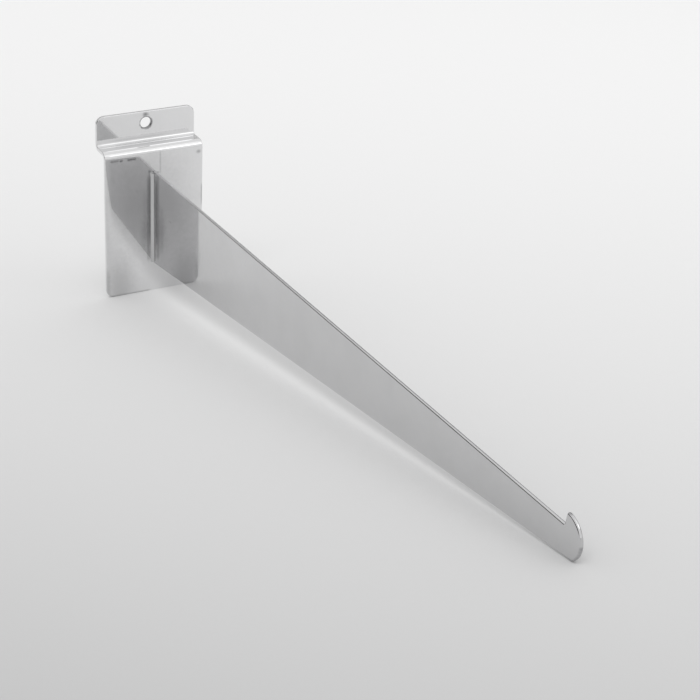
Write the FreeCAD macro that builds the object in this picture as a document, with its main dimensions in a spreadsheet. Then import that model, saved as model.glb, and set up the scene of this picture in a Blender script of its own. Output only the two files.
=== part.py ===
import FreeCAD
import Part
import math
import os
import Sketcher

# Slatwall hook: a backplate folded from one strip of sheet, and a tapered arm standing on edge on its front
# face, with a weld bead down each side of the root.
#
# Frame: +X to the right as seen from the front, +Y into the wall, +Z up, in millimetres. The origin is on
# the wall's face, in the middle of the hook's width, at the lower edge of the slot. The underside of the
# backplate's jog rests there, at Z = 0, and the back of the plate lies on the wall's face, at Y = 0.

# Driving sizes: name, value in millimetres or degrees, and what it measures.
SIZES = [
    ("plate_width", 50.0, "width of the backplate and of its tab"),
    ("plate_gauge", 2.0, "thickness of the backplate's sheet"),
    ("bend_radius", 1.5, "inner radius of both right-angle bends"),
    ("lip_gap", 8.2, "from the wall's face to the front of the tab, where the board's lip goes"),
    ("tab_rise", 14.4, "top of the tab above the jog's upper face"),
    ("plate_drop", 72.7, "bottom of the plate below the jog's underside"),
    ("corner_radius", 4.0, "rounding of the tab's and the plate's four corners"),
    ("hole_diameter", 5.5, "screw hole in the tab"),
    ("hole_rise", 8.7, "middle of the screw hole above the jog's upper face"),
    ("hole_easing", 0.5, "chamfer round both mouths of the screw hole"),
    ("edge_easing", 0.3, "rounding that polishing leaves on the backplate's edges"),
    ("arm_gauge", 1.6, "thickness of the arm's sheet"),
    ("arm_reach", 350.5, "foremost point of the nose in front of the backplate"),
    ("arm_root_drop", 9.8, "upper end of the arm's root below the jog's underside"),
    ("arm_root_height", 48.2, "height of the arm where it meets the backplate"),
    ("arm_tip_rise", 4.9, "foot of the nib above the upper end of the root"),
    ("arm_easing", 0.5, "rounding that polishing leaves on the arm's long edges"),
    ("nose_radius", 9.0, "radius of the nose's front"),
    ("chin_angle", 52.0, "degrees that the nose's arc runs on below its foremost point"),
    ("chin_round", 1.2, "rounding of the corner between the nose and the arm's lower edge"),
    ("nib_height", 5.1, "height of the nib above the arm's upper edge"),
    ("nib_lean", 0.7, "how far the nib's back leans forward over its height"),
    ("nib_round", 0.8, "rounding of the nib's top corner"),
    ("notch_round", 0.6, "rounding of the corner behind the nib"),
    ("weld_leg", 1.35, "leg of each weld bead, on the plate and on the arm"),
    ("weld_hollow", 2.5, "radius of the beads' slightly hollow face"),
    ("root_round", 0.6, "rounding of the root's two corners, between which the beads run"),
]

# Points of a sketch element: its start, its end, and the centre of an arc.
START = 1
END = 2
CENTRE = 3
# Sketch elements that every sketch has: the horizontal and the vertical axis, which meet at the origin.
AXIS_ACROSS = -1
AXIS_UP = -2

document = FreeCAD.newDocument("SlatwallHook")


def make_sheet():
    """Writes the driving sizes into the document's spreadsheet, each cell with its name."""
    cells = document.addObject("Spreadsheet::Sheet", "Sizes")
    cells.set("A1", "What it measures")
    cells.set("B1", "Size")
    for row, (alias, value, meaning) in enumerate(SIZES, start=2):
        cells.set("A%d" % row, meaning)
        cells.set("B%d" % row, str(value))
        cells.setAlias("B%d" % row, alias)
    document.recompute()
    return cells


sheet = make_sheet()


def size(alias):
    """The value of a named cell, for drawing an outline close to its solved place."""
    return float(sheet.get(alias))


def add_body(label):
    """A body with its own label, which names its file."""
    body = document.addObject("PartDesign::Body", label.title().replace("_", ""))
    body.Label = label
    body.Placement = FreeCAD.Placement()
    return body


def add_sketch(body, name, plane_role):
    """A sketch on one of the body's own origin planes."""
    sketch = body.newObject("Sketcher::SketchObject", name)
    plane = [item for item in body.Origin.OriginFeatures if item.Role == plane_role][0]
    sketch.AttachmentSupport = [(plane, "")]
    sketch.MapMode = "FlatFace"
    return sketch


def draw_line(sketch, start, end):
    """A straight edge between two points of the sketch."""
    ends = [FreeCAD.Vector(point[0], point[1], 0) for point in (start, end)]
    return sketch.addGeometry(Part.LineSegment(*ends), False)


def draw_arc(sketch, centre, radius, start_degrees, end_degrees):
    """An arc that runs anticlockwise from its start to its end."""
    circle = Part.Circle(FreeCAD.Vector(centre[0], centre[1], 0), FreeCAD.Vector(0, 0, 1), radius)
    arc = Part.ArcOfCircle(circle, math.radians(start_degrees), math.radians(end_degrees))
    return sketch.addGeometry(arc, False)


def join(sketch, *pairs):
    """Makes the ends of neighbouring elements meet."""
    for pair in pairs:
        sketch.addConstraint(Sketcher.Constraint("Coincident", *pair))


def tie(sketch, kind, name, places, expression):
    """Adds a dimension at its drawn value and binds it to the sheet."""
    if kind == "Radius":
        value = sketch.Geometry[places[0]].Radius
    else:
        first = sketch.getPoint(places[0], places[1])
        second = sketch.getPoint(places[2], places[3])
        value = second.x - first.x if kind == "DistanceX" else second.y - first.y
    index = sketch.addConstraint(Sketcher.Constraint(kind, *places, value))
    sketch.renameConstraint(index, name)
    sketch.setExpression("Constraints." + name, expression)


def pad_evenly(body, name, sketch, length):
    """Extends a sketch by the same amount to both sides of its plane."""
    pad = body.newObject("PartDesign::Pad", name)
    pad.Profile = sketch
    pad.SideType = "Symmetric"
    pad.setExpression("Length", length)
    document.recompute()
    return pad


def names_of_edges(feature, wanted):
    """The names of a feature's edges that pass a test."""
    return ["Edge%d" % number for number, edge in enumerate(feature.Shape.Edges, start=1) if wanted(edge)]


def dress_edges(body, kind, name, base, wanted, amount_property, amount):
    """Rounds or chamfers the edges of a feature that pass a test."""
    dressing = body.newObject(kind, name)
    dressing.Base = (base, names_of_edges(base, wanted))
    dressing.setExpression(amount_property, amount)
    document.recompute()
    return dressing


def round_edges(body, name, base, wanted, radius):
    """Rounds the edges of a feature that pass a test."""
    return dress_edges(body, "PartDesign::Fillet", name, base, wanted, "Radius", radius)


def near(value, target, tolerance=0.01):
    """Whether two lengths are the same for the purpose of finding an edge."""
    return abs(value - target) < tolerance


def draw_fold(sketch):
    """Draws the backplate's folded section: plate, jog and tab joined by two concentric bends."""
    gauge = size("plate_gauge")
    inner = size("bend_radius")
    outer = inner + gauge
    gap = size("lip_gap")
    foot = -size("plate_drop")
    top = gauge + size("tab_rise")
    low_bend = (inner, -inner)
    high_bend = (gap - inner, gauge + inner)

    back = draw_line(sketch, (0, -inner), (0, foot))
    bottom = draw_line(sketch, (0, foot), (-gauge, foot))
    front = draw_line(sketch, (-gauge, foot), (-gauge, -inner))
    outside_low = draw_arc(sketch, low_bend, outer, 90, 180)
    jog_top = draw_line(sketch, (inner, gauge), (gap - inner, gauge))
    inside_high = draw_arc(sketch, high_bend, inner, 270, 360)
    tab_front = draw_line(sketch, (gap, gauge + inner), (gap, top))
    tab_top = draw_line(sketch, (gap, top), (gap + gauge, top))
    tab_back = draw_line(sketch, (gap + gauge, top), (gap + gauge, gauge + inner))
    outside_high = draw_arc(sketch, high_bend, outer, 270, 360)
    jog_underside = draw_line(sketch, (gap - inner, 0), (inner, 0))
    inside_low = draw_arc(sketch, low_bend, inner, 90, 180)

    join(
        sketch,
        (back, END, bottom, START),
        (bottom, END, front, START),
        (tab_front, END, tab_top, START),
        (tab_top, END, tab_back, START),
        (outside_low, CENTRE, inside_low, CENTRE),
        (outside_high, CENTRE, inside_high, CENTRE),
    )
    bends = [
        (front, END, outside_low, END),
        (outside_low, START, jog_top, START),
        (jog_top, END, inside_high, START),
        (inside_high, END, tab_front, START),
        (tab_back, END, outside_high, END),
        (outside_high, START, jog_underside, START),
        (jog_underside, END, inside_low, START),
        (inside_low, END, back, START),
    ]
    for bend in bends:
        sketch.addConstraint(Sketcher.Constraint("Tangent", *bend))
    for upright in (back, front, tab_front, tab_back):
        sketch.addConstraint(Sketcher.Constraint("Vertical", upright))
    for level in (bottom, jog_top, tab_top, jog_underside):
        sketch.addConstraint(Sketcher.Constraint("Horizontal", level))
    sketch.addConstraint(Sketcher.Constraint("PointOnObject", back, END, AXIS_UP))
    sketch.addConstraint(Sketcher.Constraint("PointOnObject", jog_underside, END, AXIS_ACROSS))

    tie(sketch, "Radius", "low_inside", (inside_low,), "Sizes.bend_radius")
    tie(sketch, "Radius", "high_inside", (inside_high,), "Sizes.bend_radius")
    tie(sketch, "Radius", "low_outside", (outside_low,), "Sizes.bend_radius + Sizes.plate_gauge")
    tie(sketch, "DistanceY", "drop", (back, END, AXIS_ACROSS, START), "Sizes.plate_drop")
    tie(sketch, "DistanceX", "gap", (AXIS_ACROSS, START, tab_front, END), "Sizes.lip_gap")
    tie(sketch, "DistanceY", "rise", (AXIS_ACROSS, START, tab_front, END), "Sizes.plate_gauge + Sizes.tab_rise")


def is_along(edge, direction):
    """Whether an edge is a straight line along one axis of the frame, named by its letter."""
    box = edge.BoundBox
    spans = {"x": box.XLength, "y": box.YLength, "z": box.ZLength}
    return all(length < 0.01 for axis, length in spans.items() if axis != direction)


def build_backplate():
    """The folded backplate: its section drawn out across the width, its corners rounded, its tab drilled."""
    body = add_body("backplate")
    section = add_sketch(body, "FoldSection", "YZ_Plane")
    draw_fold(section)
    folded = pad_evenly(body, "FoldedStrip", section, "Sizes.plate_width")

    gauge = size("plate_gauge")
    side = size("plate_width") / 2
    top = gauge + size("tab_rise")
    foot = -size("plate_drop")

    def is_at_an_end(edge):
        return near(edge.CenterOfMass.z, top) or near(edge.CenterOfMass.z, foot)

    def is_corner(edge):
        return is_at_an_end(edge) and near(abs(edge.CenterOfMass.x), side)

    def is_outline(edge):
        if is_along(edge, "x"):
            return is_at_an_end(edge)
        if is_along(edge, "y"):
            return -0.01 < edge.CenterOfMass.z < gauge + 0.01
        return True

    cornered = round_edges(body, "RoundedCorners", folded, is_corner, "Sizes.corner_radius")
    eased = round_edges(body, "EasedEdges", cornered, is_outline, "Sizes.edge_easing")

    mark = add_sketch(body, "HoleMark", "XZ_Plane")
    middle = FreeCAD.Vector(0, gauge + size("hole_rise"), 0)
    ring = mark.addGeometry(Part.Circle(middle, FreeCAD.Vector(0, 0, 1), size("hole_diameter") / 2), False)
    mark.addConstraint(Sketcher.Constraint("PointOnObject", ring, CENTRE, AXIS_UP))
    tie(mark, "Radius", "bore", (ring,), "Sizes.hole_diameter / 2")
    height = "Sizes.plate_gauge + Sizes.hole_rise"
    tie(mark, "DistanceY", "height", (AXIS_ACROSS, START, ring, CENTRE), height)
    drilled = body.newObject("PartDesign::Pocket", "ScrewHole")
    drilled.Profile = mark
    drilled.Type = "ThroughAll"
    drilled.SideType = "Symmetric"
    document.recompute()

    def is_mouth(edge):
        return isinstance(edge.Curve, Part.Circle) and near(edge.Curve.Radius, size("hole_diameter") / 2)

    kind = "PartDesign::Chamfer"
    dress_edges(body, kind, "EasedHole", drilled, is_mouth, "Size", "Sizes.hole_easing")
    return body


def draw_arm(sketch):
    """Draws the arm's side: a tapered blade whose round nose ends above in an upturned nib."""
    root = -size("plate_gauge")
    root_top = -size("arm_root_drop")
    root_foot = root_top - size("arm_root_height")
    radius = size("nose_radius")
    chin = size("chin_angle")
    nose = root - size("arm_reach") + radius
    nib_foot = root_top + size("arm_tip_rise")
    nib_top = nib_foot + size("nib_height")
    middle = nib_top - radius
    chin_point = (
        nose - radius * math.cos(math.radians(chin)),
        middle - radius * math.sin(math.radians(chin)),
    )
    notch = (nose + size("nib_lean"), nib_foot)

    seat = draw_line(sketch, (root, root_top), (root, root_foot))
    lower = draw_line(sketch, (root, root_foot), chin_point)
    front = draw_arc(sketch, (nose, middle), radius, 90, 180 + chin)
    nib_back = draw_line(sketch, (nose, nib_top), notch)
    upper = draw_line(sketch, notch, (root, root_top))

    join(
        sketch,
        (seat, END, lower, START),
        (lower, END, front, END),
        (front, START, nib_back, START),
        (nib_back, END, upper, START),
        (upper, END, seat, START),
    )
    sketch.addConstraint(Sketcher.Constraint("Vertical", seat))
    sketch.addConstraint(Sketcher.Constraint("Vertical", front, START, front, CENTRE))
    tie(sketch, "DistanceX", "plate_face", (seat, START, AXIS_ACROSS, START), "Sizes.plate_gauge")
    tie(sketch, "DistanceY", "root_drop", (seat, START, AXIS_ACROSS, START), "Sizes.arm_root_drop")
    tie(sketch, "DistanceY", "root_height", (seat, END, seat, START), "Sizes.arm_root_height")
    tie(sketch, "Radius", "nose_round", (front,), "Sizes.nose_radius")
    reach = "Sizes.arm_reach - Sizes.nose_radius"
    tie(sketch, "DistanceX", "nose_reach", (front, CENTRE, seat, START), reach)
    chin_fall = "Sizes.nose_radius * sin(Sizes.chin_angle)"
    tie(sketch, "DistanceY", "chin_fall", (front, END, front, CENTRE), chin_fall)
    tie(sketch, "DistanceX", "nib_lean", (front, START, nib_back, END), "Sizes.nib_lean")
    tie(sketch, "DistanceY", "nib_height", (nib_back, END, front, START), "Sizes.nib_height")
    tie(sketch, "DistanceY", "tip_rise", (seat, START, nib_back, END), "Sizes.arm_tip_rise")
    return {
        "Chin": [chin_point],
        "Nib": [(nose, nib_top)],
        "Notch": [notch],
        "Root": [(root, root_top), (root, root_foot)],
    }


def build_arm():
    """The tapered arm: its side drawn out to the sheet's gauge, its corners and its long edges rounded."""
    body = add_body("arm")
    side = add_sketch(body, "ArmSide", "YZ_Plane")
    corners = draw_arm(side)
    shaped = pad_evenly(body, "ArmBlank", side, "Sizes.arm_gauge")

    for name, places in corners.items():

        def is_corner(edge):
            middle = edge.CenterOfMass
            return any(near(middle.y, y) and near(middle.z, z) for y, z in places)

        radius = "Sizes.%s_round" % name.lower()
        shaped = round_edges(body, "Rounded" + name, shaped, is_corner, radius)

    def is_on_a_side(edge):
        at_root = near(edge.CenterOfMass.y, -size("plate_gauge"))
        return near(abs(edge.CenterOfMass.x), size("arm_gauge") / 2) and not at_root

    round_edges(body, "EasedEdges", shaped, is_on_a_side, "Sizes.arm_easing")
    return body


def draw_bead(sketch):
    """Draws the left weld bead's section: a slightly hollow fillet in the corner of plate and arm."""
    leg = size("weld_leg")
    hollow = size("weld_hollow")
    corner = (-size("arm_gauge") / 2, -size("plate_gauge"))
    on_plate = (corner[0] - leg, corner[1])
    on_arm = (corner[0], corner[1] - leg)
    stand_off = math.sqrt(hollow**2 - leg**2 / 2) / math.sqrt(2)
    centre = (corner[0] - leg / 2 - stand_off, corner[1] - leg / 2 - stand_off)
    to_arm = math.degrees(math.atan2(on_arm[1] - centre[1], on_arm[0] - centre[0]))

    plate_leg = draw_line(sketch, on_plate, corner)
    arm_leg = draw_line(sketch, corner, on_arm)
    face = draw_arc(sketch, centre, hollow, to_arm, 90 - to_arm)

    join(
        sketch,
        (plate_leg, END, arm_leg, START),
        (arm_leg, END, face, START),
        (face, END, plate_leg, START),
    )
    sketch.addConstraint(Sketcher.Constraint("Horizontal", plate_leg))
    sketch.addConstraint(Sketcher.Constraint("Vertical", arm_leg))
    tie(sketch, "DistanceX", "arm_face", (arm_leg, START, AXIS_ACROSS, START), "Sizes.arm_gauge / 2")
    tie(sketch, "DistanceY", "plate_face", (arm_leg, START, AXIS_ACROSS, START), "Sizes.plate_gauge")
    tie(sketch, "DistanceX", "leg_on_plate", (plate_leg, START, plate_leg, END), "Sizes.weld_leg")
    tie(sketch, "DistanceY", "leg_on_arm", (arm_leg, END, arm_leg, START), "Sizes.weld_leg")
    tie(sketch, "Radius", "hollow", (face,), "Sizes.weld_hollow")


def build_welds():
    """The two weld beads: the left one drawn up the arm's root, and its mirror image on the right."""
    body = add_body("weld_left")
    section = add_sketch(body, "BeadSection", "XY_Plane")
    draw_bead(section)
    foot = "-(Sizes.arm_root_drop + Sizes.arm_root_height - Sizes.root_round)"
    section.setExpression("AttachmentOffset.Base.z", foot)
    bead = body.newObject("PartDesign::Pad", "Bead")
    bead.Profile = section
    bead.setExpression("Length", "Sizes.arm_root_height - 2 * Sizes.root_round")
    document.recompute()

    right = document.addObject("Part::Mirroring", "WeldRight")
    right.Label = "weld_right"
    right.Source = body
    right.Base = FreeCAD.Vector(0, 0, 0)
    right.Normal = FreeCAD.Vector(1, 0, 0)
    document.recompute()
    return [body, right]


def check_pieces(pieces):
    """Stops if any object failed, or if a piece isn't one sound solid."""
    for item in document.Objects:
        if "Invalid" in item.State or "Error" in item.State:
            raise RuntimeError("%s failed: %s" % (item.Name, item.State))
    for piece in pieces:
        shape = piece.Shape
        if shape.isNull() or not shape.isValid() or len(shape.Solids) != 1:
            raise RuntimeError("%s is not one sound solid" % piece.Label)


def write_pieces(pieces):
    """Writes each piece to a file of its own, named by its label."""
    os.makedirs("parts", exist_ok=True)
    for piece in pieces:
        piece.Shape.exportStep(os.path.join("parts", piece.Label + ".step"))
        print("%-10s %9.2f cubic millimetres" % (piece.Label, piece.Shape.Volume))


pieces = [build_backplate(), build_arm()] + build_welds()
document.recompute()
check_pieces(pieces)
write_pieces(pieces)
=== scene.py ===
import logging
import math
from dataclasses import dataclass, field, replace
from enum import Enum
from typing import Any, Dict, List, Mapping, Optional, Sequence, Tuple, Union

import bmesh
import bpy
from mathutils import Matrix, Vector

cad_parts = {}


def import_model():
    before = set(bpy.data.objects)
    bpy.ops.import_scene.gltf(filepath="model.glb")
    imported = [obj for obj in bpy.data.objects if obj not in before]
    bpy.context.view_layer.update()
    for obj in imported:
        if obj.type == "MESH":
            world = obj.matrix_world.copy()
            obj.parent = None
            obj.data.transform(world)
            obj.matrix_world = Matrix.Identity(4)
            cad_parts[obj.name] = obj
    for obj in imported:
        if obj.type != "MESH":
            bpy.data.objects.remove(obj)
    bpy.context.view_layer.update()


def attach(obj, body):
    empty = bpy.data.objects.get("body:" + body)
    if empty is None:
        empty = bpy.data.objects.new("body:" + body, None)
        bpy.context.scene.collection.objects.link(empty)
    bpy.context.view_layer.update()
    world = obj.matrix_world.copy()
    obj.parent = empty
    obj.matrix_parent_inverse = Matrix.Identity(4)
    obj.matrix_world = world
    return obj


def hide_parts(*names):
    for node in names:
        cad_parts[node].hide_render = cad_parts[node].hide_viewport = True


# Slatwall hook: a backplate folded from one strip of sheet, a tapered arm standing on edge on its front, and a
# weld bead down each side of the arm's root, all in bright chrome. Lengths are in metres, in the frame of the
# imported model: +X to the right as seen from the front, +Y into the wall, +Z up.

LOG = logging.getLogger("slatwall_hook")
MM = 0.001
QUARTER = math.pi / 2

# The attribute that carries each vertex's exact normal until the mesh is finished
FACING = "facing"

Point2 = Tuple[float, float]
Point3 = Tuple[float, float, float]
Outline = List[Tuple[Point2, Point2]]
Feed = Union["Signal", float, int, str, Sequence[float], bpy.types.ID]


def mm(x: float, y: float, z: float) -> Point3:
    """A point or a size given in millimetres."""
    return (x * MM, y * MM, z * MM)


def grey(level: float) -> Tuple[float, float, float, float]:
    """A colour without a hue."""
    return (level, level, level, 1.0)


class Signal:
    """An output socket that takes part in Python expressions."""

    def __init__(self, board: "Board", socket: bpy.types.NodeSocket) -> None:
        """Wraps one output socket.

        Args:
            board: The board that the socket's node is on.
            socket: The output socket.
        """
        self.board = board
        self.socket = socket

    def also(self, name: str) -> "Signal":
        """Another output of the same node."""
        return Signal(self.board, self.socket.node.outputs[name])

    def math(self, operation: str, *others: Feed) -> "Signal":
        """A Math node that has this signal as its first value.

        Args:
            operation: The Math node's operation.
            others: Its further values.

        Returns:
            The result's signal.
        """
        return self.board.math(operation, self, *others)

    def __add__(self, other: Feed) -> "Signal":
        """This signal plus another."""
        return self.math("ADD", other)

    def __radd__(self, other: Feed) -> "Signal":
        """A number plus this signal."""
        return self.math("ADD", other)

    def __sub__(self, other: Feed) -> "Signal":
        """This signal less another."""
        return self.math("SUBTRACT", other)

    def __rsub__(self, other: Feed) -> "Signal":
        """A number less this signal."""
        return self.board.math("SUBTRACT", other, self)

    def __mul__(self, other: Feed) -> "Signal":
        """This signal times another."""
        return self.math("MULTIPLY", other)

    def __rmul__(self, other: Feed) -> "Signal":
        """A number times this signal."""
        return self.math("MULTIPLY", other)

    def __truediv__(self, other: Feed) -> "Signal":
        """This signal divided by another."""
        return self.math("DIVIDE", other)

    def __rtruediv__(self, other: Feed) -> "Signal":
        """A number divided by this signal."""
        return self.board.math("DIVIDE", other, self)

    def __neg__(self) -> "Signal":
        """This signal with its sign turned."""
        return self.math("MULTIPLY", -1.0)


class Board:
    """A node tree, with one method that makes its nodes."""

    def __init__(self, tree: bpy.types.NodeTree) -> None:
        """Takes an empty node tree.

        Args:
            tree: A tree of shader nodes or of geometry nodes.
        """
        self.tree = tree
        self.tree.nodes.clear()

    def node(
        self,
        kind: str,
        settings: Optional[Mapping[str, Any]] = None,
        feeds: Optional[Mapping[Union[str, int], Feed]] = None,
        output: Union[str, int] = 0,
    ) -> Optional[Signal]:
        """Makes one node.

        Args:
            kind: The node's type.
            settings: Its properties, set before its sockets. "stops" holds a ramp's places and grey levels.
            feeds: Values or signals for its inputs, by name or by number.
            output: The output that the caller wants.

        Returns:
            The signal of that output, or None for a node without outputs.
        """
        made = self.tree.nodes.new(kind)
        for name, value in (settings or {}).items():
            if name == "stops":
                self._set_stops(made, value)
            else:
                setattr(made, name, value)
        for name, value in (feeds or {}).items():
            target = made.inputs[name]
            if isinstance(value, Signal):
                self.tree.links.new(value.socket, target)
            else:
                target.default_value = value
        return Signal(self, made.outputs[output]) if len(made.outputs) else None

    @staticmethod
    def _set_stops(ramp: bpy.types.Node, stops: Sequence[Tuple[float, float]]) -> None:
        """Gives a ramp its places and grey levels.

        Args:
            ramp: The ramp's node.
            stops: A place and a grey level for each stop, in rising order.
        """
        elements = ramp.color_ramp.elements
        while len(elements) < len(stops):
            elements.new(1.0)
        for element, (place, level) in zip(elements, stops):
            element.position = place
            element.color = grey(level)

    def math(self, operation: str, *values: Feed) -> Signal:
        """A Math node on up to three values."""
        return self.node("ShaderNodeMath", {"operation": operation}, dict(enumerate(values)))

    def blend(self, share: Feed, low: Feed, high: Feed) -> Signal:
        """A colour between two others.

        Args:
            share: 0 for the first colour and 1 for the second.
            low: The first colour.
            high: The second colour.

        Returns:
            The blended colour.
        """
        return self.node(
            "ShaderNodeMix", {"data_type": "RGBA"}, {"Factor": share, "A": low, "B": high}, "Result"
        )

    def vector(self, x: Feed, y: Feed, z: Feed) -> Signal:
        """A vector made of three numbers."""
        return self.node("ShaderNodeCombineXYZ", None, {"X": x, "Y": y, "Z": z})

    def vector_math(self, operation: str, *values: Feed, output: Union[str, int] = 0) -> Signal:
        """A Vector Math node on up to three vectors."""
        return self.node("ShaderNodeVectorMath", {"operation": operation}, dict(enumerate(values)), output)

    def noise(self, place: Signal, length: float, detail: float, roughness: float = 0.5) -> Signal:
        """A cloud pattern from 0 to 1.

        Args:
            place: The pattern's coordinates.
            length: The size of its clouds.
            detail: How many finer layers it has.
            roughness: How strong the finer layers are.

        Returns:
            The pattern's signal.
        """
        feeds = {"Vector": place, "Scale": 1.0 / length, "Detail": detail, "Roughness": roughness}
        return self.node("ShaderNodeTexNoise", {"normalize": True}, feeds)

    def ramp(self, source: Signal, stops: Sequence[Tuple[float, float]]) -> Signal:
        """A signal with its range bent by a ramp."""
        return self.node("ShaderNodeValToRGB", {"stops": stops}, {"Fac": source})


def new_material(name: str) -> Tuple[bpy.types.Material, Board]:
    """Makes a material without nodes.

    Args:
        name: The material's name.

    Returns:
        The material and its board.
    """
    material = bpy.data.materials.new(name)
    material.use_nodes = True
    return material, Board(material.node_tree)


class FormTree(Board):
    """A geometry node tree that ends in Realize Instances and Set Material."""

    def __init__(self, name: str) -> None:
        """Makes the tree with its geometry and material sockets.

        Args:
            name: The tree's name.
        """
        super().__init__(bpy.data.node_groups.new(name, "GeometryNodeTree"))
        self._socket("Geometry", "NodeSocketGeometry", "INPUT")
        self._socket("Geometry", "NodeSocketGeometry", "OUTPUT")
        self.finish: str = self._socket("Finish", "NodeSocketMaterial", "INPUT").identifier
        self.identifiers: Dict[str, str] = {}

    def _socket(self, name: str, kind: str, side: str) -> bpy.types.NodeTreeInterfaceItem:
        """Adds one socket to the tree's interface."""
        return self.tree.interface.new_socket(name=name, in_out=side, socket_type=kind)

    def entry(self, name: str) -> Signal:
        """The signal of a group input that exists."""
        return self.node("NodeGroupInput", None, None, name)

    def size(self, name: str) -> Signal:
        """Adds a named number to the tree's inputs.

        Args:
            name: What the number measures.

        Returns:
            Its signal.
        """
        self.identifiers[name] = self._socket(name, "NodeSocketFloat", "INPUT").identifier
        return self.entry(name)

    def close(self, geometry: Signal) -> None:
        """Ends the tree.

        Args:
            geometry: The finished geometry.
        """
        realized = self.node("GeometryNodeRealizeInstances", None, {"Geometry": geometry})
        dressed = self.node(
            "GeometryNodeSetMaterial", None, {"Geometry": realized, "Material": self.entry("Finish")}
        )
        self.node("NodeGroupOutput", None, {"Geometry": dressed})

    def bake(
        self, source: bpy.types.Mesh, name: str, sizes: Mapping[str, float], material: bpy.types.Material
    ) -> bpy.types.Mesh:
        """Runs the tree on a mesh.

        Args:
            source: The mesh that goes in.
            name: The name of the mesh that comes out.
            sizes: A value for each named number.
            material: The finish of the result.

        Returns:
            A plain mesh.
        """
        carrier = bpy.data.objects.new(name + "_form", source)
        bpy.context.scene.collection.objects.link(carrier)
        modifier = carrier.modifiers.new("form", "NODES")
        modifier.node_group = self.tree
        for label, value in sizes.items():
            modifier[self.identifiers[label]] = value
        modifier[self.finish] = material
        graph = bpy.context.evaluated_depsgraph_get()
        mesh = bpy.data.meshes.new_from_object(carrier.evaluated_get(graph))
        mesh.name = name
        carrier.modifiers.remove(modifier)
        bpy.data.objects.remove(carrier)
        return mesh


class Grain(Enum):
    """Which way the polishing lines run over a piece, as the stretch of its pattern."""

    ALONG_STRIP = (9.0, 0.35)
    ALONG_ARM = (0.35, 9.0)
    NONE = (1.0, 1.0)


class Hand(Enum):
    """A side of the hook as seen from the front, as the sign of its X."""

    LEFT = -1.0
    RIGHT = 1.0


@dataclass(frozen=True)
class Mark:
    """A soft dark place in the plating's colour: painted shade and painted dark reflections in most uses, a blemish
    in a few.

    Args:
        centre: Its middle.
        fade: How far it fades along each axis, round its core.
        depth: How dark its core is, from 0 to 1.
        core: Half the size of its core along each axis.
        edge: The share of the fade that is as dark as the core.
    """

    centre: Point3
    fade: Point3
    depth: float
    core: Point3 = (0.0, 0.0, 0.0)
    edge: float = 0.0

    def over(self, board: Board, place: Signal, ragged: Signal) -> Signal:
        """How dark the mark makes a surface.

        Args:
            board: The material's board.
            place: The surface's coordinates.
            ragged: How far its border is shifted, as a share of the fade.

        Returns:
            The signal of its depth.
        """
        offset = board.vector_math("SUBTRACT", place, self.centre)
        raised = board.vector_math("MAXIMUM", offset, tuple(-half for half in self.core))
        held = board.vector_math("MINIMUM", raised, self.core)
        outside = board.vector_math("SUBTRACT", offset, held)
        share = board.vector_math("MULTIPLY", outside, tuple(1.0 / length for length in self.fade))
        distance = board.vector_math("LENGTH", share, output="Value")
        levels = {"From Min": self.edge, "From Max": 1.0, "To Min": self.depth, "To Max": 0.0}
        feeds = {"Value": distance + ragged, **levels}
        return board.node("ShaderNodeMapRange", {"interpolation_type": "SMOOTHSTEP"}, feeds)


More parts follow.
